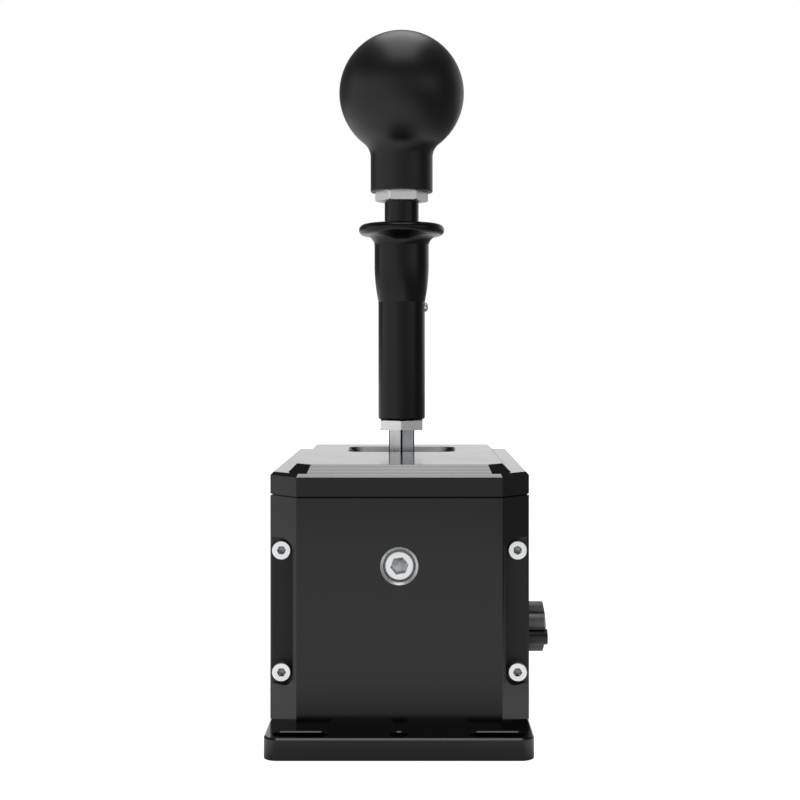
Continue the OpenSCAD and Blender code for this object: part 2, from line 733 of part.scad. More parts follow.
module data_socket() color(steel) translate([0, 0, socket_z]) {
  difference() {
    slab_xz(board_y + board_t, rear_in + 2.3) round_rect(9, 3.3, 1.6);
    slab_xz(board_y + board_t + 1, rear_in + 2.3 + cut) round_rect(8.4, 2.7, 1.3);
  }
  box([-3.2, board_y + board_t + 0.5, -0.35], [3.2, rear_in + 1.6, 0.35]);
}

// Shift cradle, turns about X

module cradle() color(alloy) translate([0, lever_y, pivot_z]) difference() {
  union() {
    box([-cradle_x, -cradle_y, -cradle_z], [cradle_x, cradle_y, cradle_z]);
    intersection() {
      cyl_x(2 * sector_r, -sector_x, sector_x, 0, 0);
      box([-sector_x, -sector_r - cut, -cradle_z], [sector_x, -cradle_y + cut, cradle_z]);
    }
  }
  box([-window_x, -window_y, -cradle_z - cut], [window_x, window_y, cradle_z + cut]);
  cyl_x(pivot_d + 2 * seat_gap, -cradle_x - cut, cradle_x + cut, 0, 0);
  cyl_y(pin_d + 2 * seat_gap, -cradle_y, cradle_y + cut, 0, 0);
  for (k = [-1, 0, 1]) rotate([k * shift_deg, 0, 0])
    cyl_x(2 * notch_r, -sector_x - cut, sector_x + cut, -sector_r + notch_depth - notch_r, 0);
}

module cradle_axles() color(steel) for (s = [0, 1]) mirror([s, 0, 0])
  cyl_x(pivot_d, window_x, side_in + bearing_w - free_gap, lever_y, pivot_z);

module bearing_inner_rings() color(steel) for (s = [0, 1]) mirror([s, 0, 0]) difference() {
  cyl_x(ring_in_d, side_in + 0.2, side_in + bearing_w - free_gap, lever_y, pivot_z);
  cyl_x(pivot_d + 2 * seat_gap, side_in, side_in + bearing_w, lever_y, pivot_z);
}

module select_pin() color(steel) cyl_y(pin_d, lever_y - cradle_y + 0.2, lever_y + cradle_y, 0, pivot_z);

module cradle_magnet() color(alloy) cyl_y(6, lever_y + cradle_y, lever_y + cradle_y + 2, magnet_x, pivot_z);

// Lever, turns about Y on the select pin

module lever_hub() color(alloy) translate([0, lever_y, pivot_z]) difference() {
  union() {
    box([-hub_x, -hub_y, -cradle_z], [hub_x, hub_y, hub_top]);
    cyl_z(18, hub_top - cut, hub_top + hub_collar, 0, 0);
  }
  cyl_y(pin_d + 2 * run_gap, -hub_y - cut, hub_y + cut, 0, 0);
  cyl_z(pin_d + 2 * seat_gap, hub_top - 7, hub_top + hub_collar + cut, 0, 0);
  cyl_z(6 + 2 * seat_gap, -cradle_z - cut, -5.4, 0, 0);
}

module lever_tail() color(steel) translate([0, lever_y, pivot_z]) union() {
  cyl_z(6, -cradle_z - cut, -5.6, 0, 0);
  cyl_z(2 * tail_r, -tail_len, -cradle_z, 0, 0);
  translate([0, 0, -tail_len]) sphere(tail_ball_r);
}

module lever_rod() color(steel) translate([0, lever_y, 0]) union() {
  cyl_z(pin_d, pivot_z + hub_top - 6.5, pivot_z + hub_top + hub_collar + cut, 0, 0);
  translate([0, 0, pivot_z + hub_top + hub_collar]) intersection() {
    rotate(30) hex(rod_af, rod_len - hub_top - hub_collar);
    cylinder(d = rod_af / cos(30) - 2 * rod_edge, h = rod_len - hub_top - hub_collar);
  }
  cyl_z(stud_d - 1, nut_low_z - cut, stud_end_z, 0, 0);
}

module lower_nut() color(steel) translate([0, lever_y, nut_low_z]) rotate(30)
  nut(nut_low_af, nut_low_h, stud_d - 1 + 2 * seat_gap);

module lever_shaft() color(black) translate([0, lever_y, 0]) difference() {
  union() {
    cyl_z(shaft_low_d, shaft_z, shoulder_z, 0, 0);
    cyl_z(shaft_top_d, shoulder_z, nut_top_z, 0, 0);
    cyl_z(stud_d, nut_top_z - cut, top_stud_end_z, 0, 0);
  }
  cyl_z(stud_d - 1 + 2 * seat_gap, shaft_z - cut, stud_end_z + 0.5, 0, 0);
}

module upper_nut() color(steel) translate([0, lever_y, nut_top_z]) rotate(4)
  nut(nut_top_af, nut_top_h, stud_d + 2 * seat_gap);

module knob() color(black) translate([0, lever_y, 0]) difference() {
  rotate_extrude() knob_profile();
  cyl_z(stud_d + 2 * seat_gap, knob_z - cut, top_stud_end_z + 0.5, 0, 0);
}

neck_edge = 0.5;
fillet_x = neck_d / 2 + neck_fillet;
fillet_z = ball_z - sqrt(pow(ball_d / 2 + neck_fillet, 2) - pow(fillet_x, 2));
module knob_profile() {
  intersection() {
    translate([0, ball_z]) circle(ball_d / 2, $fn = 128);
    translate([0, knob_z]) square([ball_d, ball_rise + ball_d]);
  }
  translate([0, knob_z + neck_edge]) square([neck_d / 2, fillet_z - knob_z - neck_edge]);
  translate([0, knob_z]) square([neck_d / 2 - neck_edge, 1]);
  translate([neck_d / 2 - neck_edge, knob_z + neck_edge]) circle(neck_edge);
  difference() {
    polygon([[0, fillet_z], [fillet_x, fillet_z], [0, ball_z]]);
    translate([fillet_x, fillet_z]) circle(neck_fillet);
  }
}

// Collar, slides up the lever

taper_drop = (waist_d - sleeve_d) / 2;
taper_r = (pow(taper_len, 2) + pow(taper_drop, 2)) / (2 * taper_drop);
lip_r = lip_t / 2;
lip_x = lip_d / 2 - lip_r;
lip_z = collar_top_z - lip_t;
module collar_profile() {
  intersection() {
    translate([waist_d / 2 - taper_r, collar_z + taper_len]) circle(taper_r, $fn = 256);
    translate([0, collar_z]) square([waist_d / 2, taper_len]);
  }
  translate([0, collar_z + taper_len]) square([waist_d / 2, collar_len - taper_len - lip_r]);
  difference() {
    translate([0, lip_z - lip_fillet]) square([waist_d / 2 + lip_fillet, lip_fillet + lip_r]);
    translate([waist_d / 2 + lip_fillet, lip_z - lip_fillet]) circle(lip_fillet);
  }
  translate([0, lip_z]) square([lip_x, lip_t]);
  translate([lip_x, lip_z + lip_r]) circle(lip_r);
  translate([0, collar_z - spigot_len]) square([sleeve_bore_d / 2 - seat_gap, spigot_len + 1]);
}

module lift_collar() color(black) translate([0, lever_y, 0]) difference() {
  rotate_extrude() collar_profile();
  cyl_z(shaft_top_d + 2 * run_gap, collar_z - spigot_len - cut, collar_top_z + cut, 0, 0);
  cyl_x(collar_screw_d + 2 * seat_gap, 0, sleeve_d, 0, collar_z - collar_screw_drop);
}

module lift_sleeve() color(black) translate([0, lever_y, 0]) difference() {
  union() {
    translate([0, 0, sleeve_z]) cylinder(d1 = sleeve_d - 2 * sleeve_edge, d2 = sleeve_d, h = sleeve_edge);
    cyl_z(sleeve_d, sleeve_z + sleeve_edge, collar_z, 0, 0);
  }
  cyl_z(shaft_low_d + 2 * run_gap, sleeve_z - cut, sleeve_z + land_len + cut, 0, 0);
  cyl_z(sleeve_bore_d, spring_low_z, collar_z + cut, 0, 0);
  cyl_x(collar_screw_d + 2 * seat_gap, 0, sleeve_d, 0, collar_z - collar_screw_drop);
}

module collar_screw() color(steel) translate([0, lever_y, collar_z - collar_screw_drop]) difference() {
  rotate([0, 90, 0]) rotate_extrude() intersection() {
    translate([0, sleeve_d / 2 + collar_screw_out - collar_dome_r]) circle(collar_dome_r);
    translate([0, shaft_top_d / 2 + 0.4]) square([collar_screw_d / 2, sleeve_d]);
  }
  translate([sleeve_d / 2 + 0.2, 0, 0]) rotate([0, 90, 0]) hex(collar_screw_d / 2, 2);
}

module lift_spring() color(steel) translate([0, lever_y, spring_low_z + free_gap])
  coil(lift_coil_r, lift_wire, lift_len, floor(lift_len / 4));

// Dust plate, slides along Y under the opening

module dust_plate() color(black) translate([0, lever_y, dust_z]) difference() {
  box([-dust_w / 2, -dust_d / 2, 0], [dust_w / 2, dust_d / 2, dust_t]);
  box([-dust_slot_x, -dust_slot_y, -cut], [dust_slot_x, dust_slot_y, dust_t + cut]);
}

// Select yoke, slides along X on the guide rods

module rod_bores(x0, x1) {
  for (s = [-1, 1]) cyl_x(rod_d + 2 * run_gap, x0 - cut, x1 + cut, lever_y + s * rod_y, star_z);
}

module select_yoke() color(alloy) difference() {
  box([-yoke_x, lever_y - yoke_y, star_z - yoke_h / 2], [yoke_x, lever_y + yoke_y, star_z + yoke_h / 2]);
  box([-tail_ball_r - free_gap, lever_y - yoke_slot_y, star_z - yoke_h],
    [tail_ball_r + free_gap, lever_y + yoke_slot_y, star_z + yoke_h]);
  rod_bores(-yoke_x, yoke_x);
}

module yoke_magnet() color(alloy) cyl_y(5, lever_y + yoke_y, lever_y + yoke_y + 2, 0, star_z);

// Preload plate, drawn along X by the adjusting screw

module preload_plate() color(alloy) difference() {
  box([plate_x, lever_y - yoke_y, star_z - plate_h / 2],
    [plate_x + plate_t, lever_y + yoke_y, star_z + plate_h / 2]);
  rod_bores(plate_x, plate_x + plate_t);
  cyl_x(adjust_d + 2 * run_gap, plate_x - cut, plate_x + plate_t + cut, lever_y, star_z);
}

// Star knob and adjusting screw, turn about X

module adjust_screw() color(steel) union() {
  cyl_x(adjust_d, plate_x - adjust_travel - adjust_end, star_x + star_len - star_wall, lever_y, star_z);
  cyl_x(adjust_collar_d, plate_x + plate_t + 1, side_in - bush_flange_t - free_gap, lever_y, star_z);
}

module star_knob() color(rubber) translate([star_x, lever_y, star_z]) difference() {
  union() {
    intersection() {
      rotate([90, 0, 90]) linear_extrude(star_len) star_shape();
      rotate([0, 90, 0]) rotate_extrude() intersection() {
        translate([0, star_len - dome_r]) circle(dome_r, $fn = 256);
        square([star_d / 2 + cut, star_len]);
      }
    }
    rotate([90, 0, 90]) rotate(star_turn) translate([star_d / 2 - lobe_r, 0, 0]) pointer();
  }
  cyl_x(adjust_d + 2 * seat_gap, -cut, star_len - star_wall + 0.5, 0, 0);
}

module star_shape() {
  circle(star_d / 2 - lobe_r - 0.2);
  for (k = [0:lobes - 1]) rotate(star_turn + 360 / lobes * k)
    translate([star_d / 2 - lobe_r, 0]) circle(lobe_r);
}

// the lobe that shows the setting, longer than the dome leaves the others
module pointer() {
  cylinder(r = pointer_r, h = star_len - pointer_edge);
  translate([0, 0, star_len - pointer_edge])
    cylinder(r1 = pointer_r, r2 = pointer_r - pointer_edge, h = pointer_edge);
}

base_plate();
front_plate();
rear_plate();
left_side_plate();
right_side_plate();
lid();
plate_screws();
tie_bolts();
detent_screw();
detent_barrel();
barrel_screws();
detent_spring();
detent_plunger();
bearing_outer_rings();
bearing_inner_rings();
cradle();
cradle_axles();
select_pin();
lever_hub();
lever_tail();
lever_rod();
lower_nut();
lever_shaft();
upper_nut();
knob();
lift_collar();
lift_sleeve();
collar_screw();
lift_spring();
dust_plate();
dust_rails();
rail_screws();
guide_rods();
select_yoke();
left_springs();
right_springs();
preload_plate();
adjust_screw();
adjust_bush();
star_knob();
sensor_board();
board_chips();
board_standoffs();
board_screws();
cradle_magnet();
yoke_magnet();
data_socket();
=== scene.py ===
# %% [markdown]
# # A gear shifter for a driving rig
#
# The real object is a black anodised box with a tall lever, photographed from the front on white.
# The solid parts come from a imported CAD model, so this lesson is about three other things: a
# camera that stands where the photographer stood, finishes that look like machined metal, and a
# few small pieces whose edges and knurls are too fine for the CAD model.

# %% Load the frame
import json
import math
import bpy
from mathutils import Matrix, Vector


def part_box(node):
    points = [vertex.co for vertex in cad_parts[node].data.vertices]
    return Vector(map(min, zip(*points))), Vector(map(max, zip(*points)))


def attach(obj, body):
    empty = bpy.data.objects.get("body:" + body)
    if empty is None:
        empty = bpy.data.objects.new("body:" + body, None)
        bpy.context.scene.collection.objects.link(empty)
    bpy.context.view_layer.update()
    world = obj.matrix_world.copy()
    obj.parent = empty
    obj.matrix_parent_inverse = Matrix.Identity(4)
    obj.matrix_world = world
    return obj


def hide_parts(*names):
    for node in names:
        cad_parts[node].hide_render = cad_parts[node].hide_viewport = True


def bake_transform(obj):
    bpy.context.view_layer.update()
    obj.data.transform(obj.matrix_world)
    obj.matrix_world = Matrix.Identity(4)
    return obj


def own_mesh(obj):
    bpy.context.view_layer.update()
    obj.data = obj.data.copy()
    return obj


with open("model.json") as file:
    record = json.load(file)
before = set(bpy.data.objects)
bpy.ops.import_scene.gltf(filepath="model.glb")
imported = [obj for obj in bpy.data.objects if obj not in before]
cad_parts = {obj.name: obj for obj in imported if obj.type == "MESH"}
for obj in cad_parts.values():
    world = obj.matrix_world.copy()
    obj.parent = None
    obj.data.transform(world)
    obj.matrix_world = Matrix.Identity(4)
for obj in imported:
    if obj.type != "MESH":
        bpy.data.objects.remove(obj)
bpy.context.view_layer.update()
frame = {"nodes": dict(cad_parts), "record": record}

nodes = frame["nodes"]
joints = {joint["name"]: joint for joint in frame["record"]["behaviour"]["joints"]}

# %% [markdown]
# ## The camera
#
# The lens is found from the perspective of the lid: its left and right edges meet at the height of
# the camera, a little above the lid. The photographer kept the lens level and slid it, so that
# upright edges stay upright. Blender does the same with the camera's shift, given in parts of the
# picture's width, and the camera itself stays level.

# %% Camera
PICTURE = 800                    # pixels on each side of the photograph
EYE = (0.006, -0.545, 0.1464)    # metres
SLIDE_X, SLIDE_Y = -15.5, -47    # pixels from the picture's middle to the point straight ahead
SENSOR, LENS = 36, 58.32         # millimetres

camera = bpy.data.objects.new("camera", bpy.data.cameras.new("camera"))
bpy.context.collection.objects.link(camera)
camera.location = EYE
camera.rotation_euler = (math.radians(90), 0, 0)
camera.data.sensor_width, camera.data.lens = SENSOR, LENS
camera.data.shift_x = SLIDE_X / PICTURE
camera.data.shift_y = SLIDE_Y / PICTURE
camera.data.clip_start = 0.01
bpy.context.scene.camera = camera
bpy.context.scene.view_settings.view_transform = "Standard"

# %% [markdown]
# ## Two helpers for all finishes
#
# A finish is a small net of nodes. Typing out every link hides the idea behind a lot of code, so
# one function adds a node, sets its values and links its inputs. Colours are written the way a
# paint program shows them, and a second function turns them to linear light.

# %% Helpers for finishes
def linear(code):
    """Turn an sRGB hex colour such as 1a1a1b into linear red, green, blue and alpha."""
    parts = [int(code[i:i + 2], 16) / 255 for i in (0, 2, 4)]
    return [c / 12.92 if c <= 0.04045 else ((c + 0.055) / 1.055) ** 2.4 for c in parts] + [1.0]


def add(tree, kind, settings=None, **inputs):
    """Add a node; an input is a plain value, or the output socket of another node.
    Inputs that share a name are given by number: i0, i1 and so on."""
    made = tree.nodes.new("ShaderNode" + kind)
    for name, value in (settings or {}).items():
        setattr(made, name, value)
    for name, value in inputs.items():
        key = int(name[1:]) if name[0] == "i" and name[1:].isdigit() else name.replace("_", " ")
        if isinstance(value, bpy.types.NodeSocket):
            tree.links.new(value, made.inputs[key])
        else:
            made.inputs[key].default_value = value
    return made


def new_finish(name):
    """A material with an empty net, its output and the object's own coordinates."""
    finish = bpy.data.materials.new(name)
    finish.use_nodes = True
    tree = finish.node_tree
    tree.nodes.clear()
    out = add(tree, "OutputMaterial")
    place = add(tree, "TexCoord").outputs["Object"]
    return finish, tree, out, place


print("helpers ready; mid grey 808080 is", round(linear("808080")[0], 3), "in linear light")

# %% [markdown]
# ## Black anodised aluminium
#
# The box, the lid and the collar are aluminium, lightly blasted and dyed black. The dye lies in a
# glassy oxide skin, so the surface reflects like a clear coat and not like bare metal: nearly
# black where it is seen square on, and almost a mirror where it is seen at a flat angle, as on the
# lid. A faint waviness bends that mirror picture, and the blasting marks, about 0.1 mm on the real
# thing, are drawn at 0.25 mm so that they show at all.

# %% Black anodised aluminium
BEAD, CLOUD, SWELL = 0.00025, 0.03, 0.012    # metres: blasting marks, cloudy dye, waviness
BEAD_DEPTH = 0.00001
BLACK, FAINT_WAVES = "050506", 0.000002


def anodised(name, tone, rough, waves, index=1.45):
    """Returns the finish, its net, its coordinates and its shader, so that it can be built on."""
    finish, tree, out, place = new_finish(name)
    beads = add(tree, "TexNoise", Vector=place, Scale=1 / BEAD, Detail=2.0, Roughness=0.5)
    cloud = add(tree, "TexNoise", Vector=place, Scale=1 / CLOUD, Detail=3.0, Roughness=0.6)
    swell = add(tree, "TexNoise", Vector=place, Scale=1 / SWELL, Detail=1.0)
    shade = add(tree, "MixRGB", Fac=cloud.outputs[0], Color1=linear(tone), Color2=linear("0b0b0c"))
    gloss = add(tree, "MapRange", Value=cloud.outputs[0], From_Min=0.3, From_Max=0.7,
                To_Min=rough - 0.02, To_Max=rough + 0.02)
    wavy = add(tree, "Bump", Strength=1.0, Distance=waves, Height=swell.outputs[0])
    bump = add(tree, "Bump", Strength=0.1, Distance=BEAD_DEPTH, Height=beads.outputs[0],
               Normal=wavy.outputs[0])
    shader = add(tree, "BsdfPrincipled", Base_Color=shade.outputs[0], Roughness=gloss.outputs[0],
                 IOR=index, Normal=bump.outputs[0])
    tree.links.new(shader.outputs[0], out.inputs["Surface"])
    return finish, tree, place, shader


box_finish = anodised("anodised aluminium, black, fine blasted", BLACK, 0.16, FAINT_WAVES)[0]
# the base plate's copy of the black is darker in tone than the box's: painted shade
base_finish = anodised("anodised aluminium, black, shaded darker", "020202", 0.16, FAINT_WAVES,
                       index=1.56)[0]
turned_finish = anodised("anodised aluminium, black, turned", "060607", 0.24, 0.0, index=1.37)[0]
print("anodised finishes:", box_finish.name, "|", base_finish.name, "|", turned_finish.name)

# %% [markdown]
# ## Bare and milled places in a black finish
#
# Two places of the black parts were cut after the dyeing, and there the bare aluminium shows. Two
# others were milled and not blasted, so they are rougher and mirror less. Such a place is a matter
# of finish and not of form, so it is a mask: where the mask is 1 the finish changes. The mask can
# come from anything that a surface knows, such as its place or its direction.

# %% Bare and milled places in a black finish
def roughen(tree, shader, mask, rough):
    """Give a finish another roughness where a mask is 1."""
    gloss = shader.inputs["Roughness"].links[0].from_socket
    matt = add(tree, "MapRange", Value=mask, To_Min=gloss, To_Max=rough)
    tree.links.new(matt.outputs[0], shader.inputs["Roughness"])


def lay_bare(tree, shader, mask, tone, rough):
    """Turn a finish to metal where a mask is 1."""
    black = shader.inputs["Base Color"].links[0].from_socket
    skin = add(tree, "MixRGB", Fac=mask, Color1=black, Color2=tone)
    tree.links.new(skin.outputs[0], shader.inputs["Base Color"])
    tree.links.new(mask, shader.inputs["Metallic"])
    roughen(tree, shader, mask, rough)


MILLED_ROUGH = 0.5
print("bare places keep the bumps of the skin round them; milled ones are", MILLED_ROUGH, "rough")

# %% [markdown]
# ## The lid and its bright-cut front
#
# The lid's slanted front, the bevel below it and the far edge of the lever opening are cut bright,
# in passes that leave a fine line each. All three lean and face the front, and a surface's normal
# tells both: its Z part says how far it leans, its Y part whether it looks forward. Round the
# corners of the opening the Y part shrinks, and there the bright cut is faded to black as in the
# photograph: painted shade where the curve turns away from the front. The upright edge below is
# milled, and there the normal points straight to the front.

# %% The lid
lid_finish, tree, place, shader = anodised("anodised aluminium, black, front cut bright", BLACK,
                                           0.13, 0.00003)
normal = add(tree, "SeparateXYZ", Vector=add(tree, "NewGeometry").outputs["Normal"])
leaning = add(tree, "MapRange", Value=normal.outputs["Z"], From_Min=0.5, From_Max=0.6)
level = add(tree, "MapRange", Value=normal.outputs["Z"], From_Min=0.8, From_Max=0.9,
            To_Min=1.0, To_Max=0.0)
# painted shade: the bright cut fades to black where the normal turns from the front
forward = add(tree, "MapRange", Value=normal.outputs["Y"], From_Min=-0.68, From_Max=-0.54,
              To_Min=1.0, To_Max=0.0)
slanted = add(tree, "Math", {"operation": "MULTIPLY"}, i0=leaning.outputs[0], i1=level.outputs[0])
mask = add(tree, "Math", {"operation": "MULTIPLY"}, i0=slanted.outputs[0], i1=forward.outputs[0])
PASS = 0.0005          # metres of height between two passes
WAVE_SCALE = 0.314     # the wave texture's scale for one band in a metre
passes = add(tree, "TexWave", {"bands_direction": "Z"}, Vector=place, Scale=WAVE_SCALE / PASS,
             Distortion=0.4, Detail=2.0)
cut = add(tree, "MixRGB", Fac=passes.outputs["Fac"], Color1=linear("626262"),
          Color2=linear("969696"))
lay_bare(tree, shader, mask.outputs[0], cut.outputs[0], 0.4)
upright = add(tree, "MapRange", Value=normal.outputs["Y"], From_Min=-0.98, From_Max=-0.9,
              To_Min=1.0, To_Max=0.0)
roughen(tree, shader, upright.outputs[0], MILLED_ROUGH)
print(lid_finish.name, "with a line every", PASS * 1000, "mm")

# %% [markdown]
# ## The front plate, its countersink and its pockets
#
# The hole of the front screw was countersunk after the plate was dyed, so the rim of the
# countersink is a bright ring of bare aluminium, with a dark ring between it and the screw. Here
# the mask is the distance from the screw's axis. The pockets between the corner screws were
# milled: they lie behind the front face, and between the heights of the lower and the upper
# screws.

# %% The front plate's countersink
plate_finish, tree, place, shader = anodised("anodised aluminium, black, countersunk bare", BLACK,
                                             0.16, FAINT_WAVES)
low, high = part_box("detent_screw")
axis_x, axis_z = (low[0] + high[0]) / 2, (low[2] + high[2]) / 2
RING = 0.00705          # metres, radius of the countersink with a hair of clearance
RING_WIDTH = 0.001
BLUR = 0.0001           # metres, half of the soft inner edge
TURNED_MARK = 0.0006    # metres
flat = add(tree, "Mapping", Vector=place, Location=(-axis_x, 0, -axis_z), Scale=(1, 0, 1))
far = add(tree, "VectorMath", {"operation": "LENGTH"}, i0=flat.outputs[0])
within = add(tree, "MapRange", Value=far.outputs["Value"], From_Min=RING - BLUR / 2, From_Max=RING,
             To_Min=1.0, To_Max=0.0)
outer = add(tree, "MapRange", Value=far.outputs["Value"], From_Min=RING - RING_WIDTH - BLUR,
            From_Max=RING - RING_WIDTH + BLUR)
bare = add(tree, "Math", {"operation": "MULTIPLY"}, i0=within.outputs[0], i1=outer.outputs[0])
turning = add(tree, "TexNoise", Vector=place, Scale=1 / TURNED_MARK, Detail=3.0)
metal = add(tree, "MixRGB", Fac=turning.outputs[0], Color1=linear("b4b6b8"),
            Color2=linear("ecedee"))
lay_bare(tree, shader, bare.outputs[0], metal.outputs[0], 0.42)
print("bare ring of", round(RING * 2000, 1), "mm round the front screw")

# %% The front plate's pockets
low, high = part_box("plate_screws")
front_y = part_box("front_plate")[0][1]
SKIN, FADE = 0.0005, 0.002    # metres behind the front face, and of height
spot = add(tree, "SeparateXYZ", Vector=place)
behind = add(tree, "MapRange", Value=spot.outputs["Y"], From_Min=front_y + SKIN - BLUR,
             From_Max=front_y + SKIN + BLUR)
above = add(tree, "MapRange", Value=spot.outputs["Z"], From_Min=low[2], From_Max=low[2] + FADE)
below = add(tree, "MapRange", Value=spot.outputs["Z"], From_Min=high[2] - FADE, From_Max=high[2],
            To_Min=1.0, To_Max=0.0)
between = add(tree, "Math", {"operation": "MULTIPLY"}, i0=above.outputs[0], i1=below.outputs[0])
milled = add(tree, "Math", {"operation": "MULTIPLY"}, i0=between.outputs[0], i1=behind.outputs[0])
roughen(tree, shader, milled.outputs[0], MILLED_ROUGH)
print("milled pockets from", round(low[2], 4), "to", round(high[2], 4), "m of height")

# %% [markdown]
# ## Bright steel
#
# The screws, nuts and the hex rod are steel with a thin bright zinc coat. Metal has no colour of
# its own under its reflection, so its tone is the reflection's tone. Drawn bar has streaks along
# its length, and a turned face has fine marks all over; both are stretched noise, streaks about
# 0.15 mm wide.

# %% Bright steel
STAIN = 0.006    # metres across a stain of the zinc


def bright_metal(name, tone, stain_tone, rough, streak):
    finish, tree, out, place = new_finish(name)
    drawn = add(tree, "Mapping", Vector=place, Scale=[1 / size for size in streak])
    streaks = add(tree, "TexNoise", Vector=drawn.outputs[0], Scale=1.0, Detail=3.0, Roughness=0.6)
    stain = add(tree, "TexNoise", Vector=place, Scale=1 / STAIN, Detail=2.0)
    shade = add(tree, "MixRGB", Fac=stain.outputs[0], Color1=linear(tone),
                Color2=linear(stain_tone))
    gloss = add(tree, "MapRange", Value=streaks.outputs[0], From_Min=0.3, From_Max=0.7,
                To_Min=rough - 0.06, To_Max=rough + 0.08)
    bump = add(tree, "Bump", Strength=0.25, Distance=0.00001, Height=streaks.outputs[0])
    shader = add(tree, "BsdfPrincipled", Base_Color=shade.outputs[0], Metallic=1.0,
                 Roughness=gloss.outputs[0], Normal=bump.outputs[0])
    tree.links.new(shader.outputs[0], out.inputs["Surface"])
    return finish


EVEN = (0.0002, 0.0002, 0.0002)    # metres along X, Y and Z
UPRIGHT = (0.00015, 0.00015, 0.008)
ALONG_Y = (0.0003, 0.003, 0.0003)
drawn_steel = bright_metal("steel bar, drawn, zinc plated", "dcdee0", "c6c8ca", 0.26, UPRIGHT)
turned_steel = bright_metal("steel, turned, zinc plated", "f4f5f6", "e6e8ea", 0.32, EVEN)
nut_steel = bright_metal("steel nut, blasted, zinc plated", "fafafa", "f2f3f4", 0.42, EVEN)
ground_steel = bright_metal("steel, ground", "b9bbbe", "a8aaae", 0.28, EVEN)
wire_steel = bright_metal("spring steel wire, drawn", "9a9ca0", "85878c", 0.33, EVEN)
plain_alloy = bright_metal("aluminium, machined bare", "c6c8ca", "b4b6b8", 0.36, ALONG_Y)
bronze = bright_metal("bearing bronze, turned", "b98a4a", "a87a3e", 0.3, EVEN)
nickel = bright_metal("nickel plated steel", "c4c0b6", "b0aca2", 0.22, EVEN)
print("metal finishes:", drawn_steel.name, "|", turned_steel.name, "and six more")

# %% [markdown]
# The six corners of the drawn bar are rolled over, and the dark lines that they mirror are painted
# reflection: a mask darkens the tone where a point lies nearly as far from the bar's axis as the
# corners do.

# %% Painted dark reflection on the corners of the hex rod
def darken(finish, mask, tone):
    """Mix a second tone into a finish where a mask is 1."""
    tree = finish.node_tree
    socket = tree.nodes["Principled BSDF"].inputs["Base Color"]
    shade = add(tree, "MixRGB", Fac=mask, Color1=socket.links[0].from_socket,
                Color2=linear(tone))
    tree.links.new(shade.outputs[0], socket)


low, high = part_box("lever_rod")
rod_y, corner_r = (low[1] + high[1]) / 2, (high[1] - low[1]) / 2
CORNER = 0.00002    # metres that the dark part reaches down from a corner
tree = drawn_steel.node_tree
across = add(tree, "Mapping", Vector=add(tree, "TexCoord").outputs["Object"],
             Location=(0, -rod_y, 0), Scale=(1, 1, 0))
far = add(tree, "VectorMath", {"operation": "LENGTH"}, i0=across.outputs[0])
# painted reflection: the tone is darkened along the six corners
corners = add(tree, "MapRange", Value=far.outputs["Value"], From_Min=corner_r - 2 * CORNER,
              From_Max=corner_r - CORNER)
darken(drawn_steel, corners.outputs[0], "242526")
print("dark corners", round(corner_r * 1000, 2), "mm from the rod's axis")

# %% [markdown]
# ## Moulded plastics
#
# The ball is a satin black moulding: smooth, with a soft broad highlight. The star knob is nylon
# with glass fibres in it and a fine eroded texture. Both are plain dielectrics, with an index of
# refraction of 1.4 to 1.6.

# %% Moulded plastics
FLOW = 0.02    # metres across a cloud of the moulding's flow


def moulded(name, tone, rough, index, grain, depth):
    finish, tree, out, place = new_finish(name)
    fine = add(tree, "TexNoise", Vector=place, Scale=1 / grain, Detail=3.0, Roughness=0.55)
    flow = add(tree, "TexNoise", Vector=place, Scale=1 / FLOW, Detail=2.0)
    colour = linear(tone)
    lighter = [min(c * 1.5, 1.0) for c in colour[:3]] + [1.0]
    shade = add(tree, "MixRGB", Fac=flow.outputs[0], Color1=colour, Color2=lighter)
    gloss = add(tree, "MapRange", Value=flow.outputs[0], From_Min=0.3, From_Max=0.7,
                To_Min=rough - 0.02, To_Max=rough + 0.03)
    bump = add(tree, "Bump", Strength=0.2, Distance=depth, Height=fine.outputs[0])
    shader = add(tree, "BsdfPrincipled", Base_Color=shade.outputs[0], Roughness=gloss.outputs[0],
                 IOR=index, Normal=bump.outputs[0])
    tree.links.new(shader.outputs[0], out.inputs["Surface"])
    return finish


ball_finish = moulded("acetal, black, satin moulded", "070707", 0.38, 1.44, 0.0004, 0.00001)
nylon_finish = moulded("glass-filled nylon, greyed by wear, eroded", "585859", 0.4, 1.55, 0.0005,
                       0.00003)
chip_finish = moulded("epoxy, black, moulded chip", "0e0e0f", 0.5, 1.5, 0.0003, 0.00001)
board_finish = moulded("glass epoxy board, green mask", "12502a", 0.3, 1.5, 0.001, 0.00001)
print("plastic finishes:", ball_finish.name, "|", nylon_finish.name, "and two more")

# %% Give every CAD node its finish
finishes = {
    base_finish: ["base_plate"],
    box_finish: ["rear_plate", "left_side_plate", "right_side_plate"],
    plate_finish: ["front_plate"],
    lid_finish: ["lid"],
    turned_finish: ["lever_shaft", "lift_collar", "lift_sleeve", "dust_plate"],
    ball_finish: ["knob"],
    nylon_finish: ["star_knob"],
    drawn_steel: ["lever_rod"],
    nut_steel: ["lower_nut", "upper_nut"],
    turned_steel: ["plate_screws", "detent_screw", "collar_screw", "tie_bolts"],
    ground_steel: ["barrel_screws", "rail_screws", "board_screws", "cradle_axles", "select_pin",
                   "lever_tail", "guide_rods", "adjust_screw", "bearing_outer_rings",
                   "bearing_inner_rings"],
    wire_steel: ["detent_spring", "lift_spring", "left_springs", "right_springs"],
    plain_alloy: ["detent_barrel", "cradle", "lever_hub", "dust_rails", "select_yoke",
                  "preload_plate"],
    bronze: ["detent_plunger", "adjust_bush", "board_standoffs"],
    nickel: ["cradle_magnet", "yoke_magnet", "data_socket"],
    chip_finish: ["board_chips"],
    board_finish: ["sensor_board"],
}
for finish, names in finishes.items():
    for name in names:
        if not nodes[name].material_slots:
            nodes[name].data.materials.append(finish)
        for slot in nodes[name].material_slots:
            slot.material = finish
